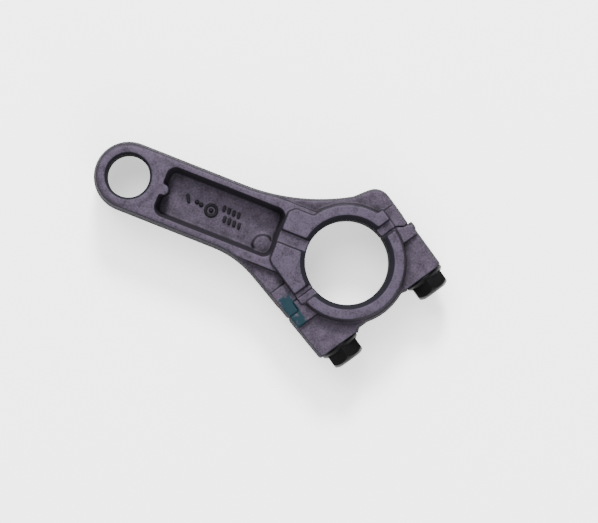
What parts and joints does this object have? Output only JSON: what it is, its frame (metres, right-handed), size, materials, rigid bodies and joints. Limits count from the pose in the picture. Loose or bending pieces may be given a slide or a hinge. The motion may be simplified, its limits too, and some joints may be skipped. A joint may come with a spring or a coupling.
{
  "type": "connecting rod",
  "caption": "Die-cast connecting rod of a small four-stroke engine: obliquely split, bolted big end, I-section beam with pockets, and a plain gudgeon-pin eye.",
  "frame": {"origin": "centre of the crankpin bore, at mid thickness", "axes": "+Z along both bores, +X from the crankpin bore to the gudgeon-pin eye"},
  "size_m": [0.1117, 0.0551, 0.021],
  "materials": {
    "die_cast_rod": "as die cast, with bored and faced bearing surfaces",
    "die_cast_cap": "as die cast, with bored and faced bearing surfaces",
    "black_steel": "black oxide"
  },
  "bodies": {
    "rod": {"rod_body": "die_cast_rod"},
    "cap": {"rod_cap": "die_cast_cap"},
    "long_bolt": {"bolt_long_leg": "black_steel"},
    "short_bolt": {"bolt_short_leg": "black_steel"}
  },
  "joints": [
    {"name": "cap_draw_off", "type": "slide", "parent": "rod", "child": "cap", "axis": [-0.8443, 0.5358, 0], "range_m": [0, 0.014]},
    {"name": "long_bolt_turn", "type": "hinge", "parent": "cap", "child": "long_bolt", "pos_m": [-0.00689, 0.02368, 0], "axis": [-0.8443, 0.5358, 0], "range_deg": [0, 5041]},
    {"name": "short_bolt_turn", "type": "hinge", "parent": "cap", "child": "short_bolt", "pos_m": [-0.02309, -0.00465, 0], "axis": [-0.8443, 0.5358, 0], "range_deg": [0, 5041]}
  ],
  "couplings": [
    {"joint": "long_bolt_turn", "follows": "cap_draw_off", "rad_per_m": 6283.2},
    {"joint": "short_bolt_turn", "follows": "cap_draw_off", "rad_per_m": 6283.2}
  ]
}
